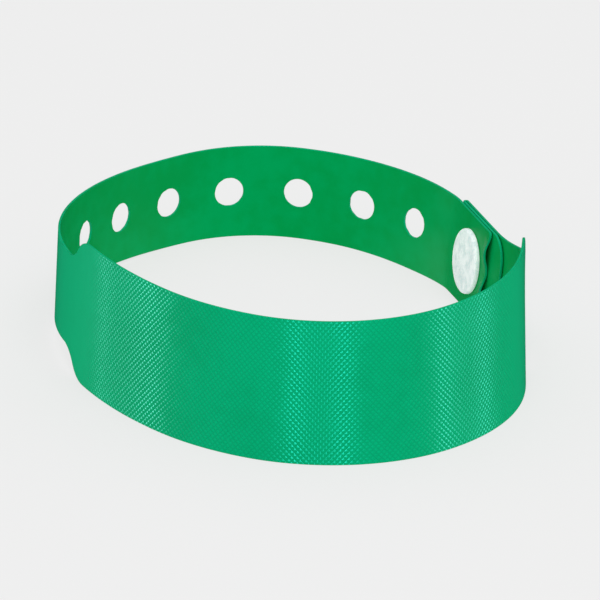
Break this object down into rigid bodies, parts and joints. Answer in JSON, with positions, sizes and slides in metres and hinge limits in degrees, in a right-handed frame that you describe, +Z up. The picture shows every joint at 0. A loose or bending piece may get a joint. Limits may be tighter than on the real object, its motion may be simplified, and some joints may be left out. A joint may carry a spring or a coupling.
{
  "type": "event wristband",
  "caption": "Flexible vinyl wristband with a wide face and a narrow punched tail, closed to a loop by a plastic snap.",
  "frame": {"origin": "on the floor under the middle of the loop, at the bottom centre of the bounding box", "axes": "+Z up the band's width, +Y from the wide face to the punched back, +X to the side the snap is on"},
  "size_m": [0.0789, 0.1032, 0.025],
  "materials": {
    "vinyl": "embossed emerald green vinyl outside, smooth inside",
    "snap_plastic": "translucent white plastic"
  },
  "bodies": {
    "root": {"band": "vinyl", "snap_stud": "snap_plastic", "snap_cap": "snap_plastic"}
  },
  "joints": []
}
